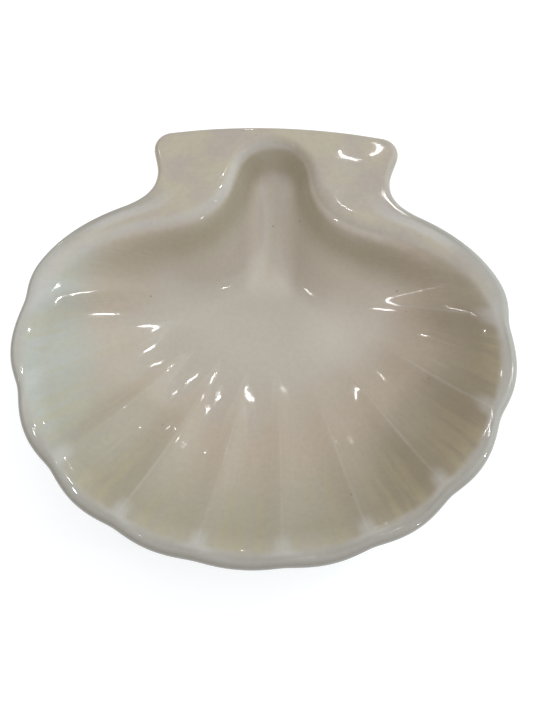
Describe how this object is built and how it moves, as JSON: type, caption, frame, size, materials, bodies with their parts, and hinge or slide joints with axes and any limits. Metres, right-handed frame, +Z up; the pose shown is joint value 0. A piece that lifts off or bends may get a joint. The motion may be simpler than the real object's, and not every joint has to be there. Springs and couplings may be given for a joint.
{
  "type": "baking shell",
  "caption": "One-piece glazed ceramic baking shell: a shallow scallop-shaped dish with a pleated bowl, a scalloped lip, a hollow beak and two flat ears at the hinge, on a low foot ring.",
  "frame": {"origin": "centre of the dish's length and width, on the surface that its foot ring stands on", "axes": "+Z up out of the bowl, +Y towards the hinge and its ears, -Y towards the scalloped front rim, +X to the right"},
  "size_m": [0.1396, 0.1326, 0.034],
  "materials": {
    "ivory_glaze": "gloss ivory glaze"
  },
  "bodies": {
    "root": {"shell_dish": "ivory_glaze"}
  },
  "joints": []
}
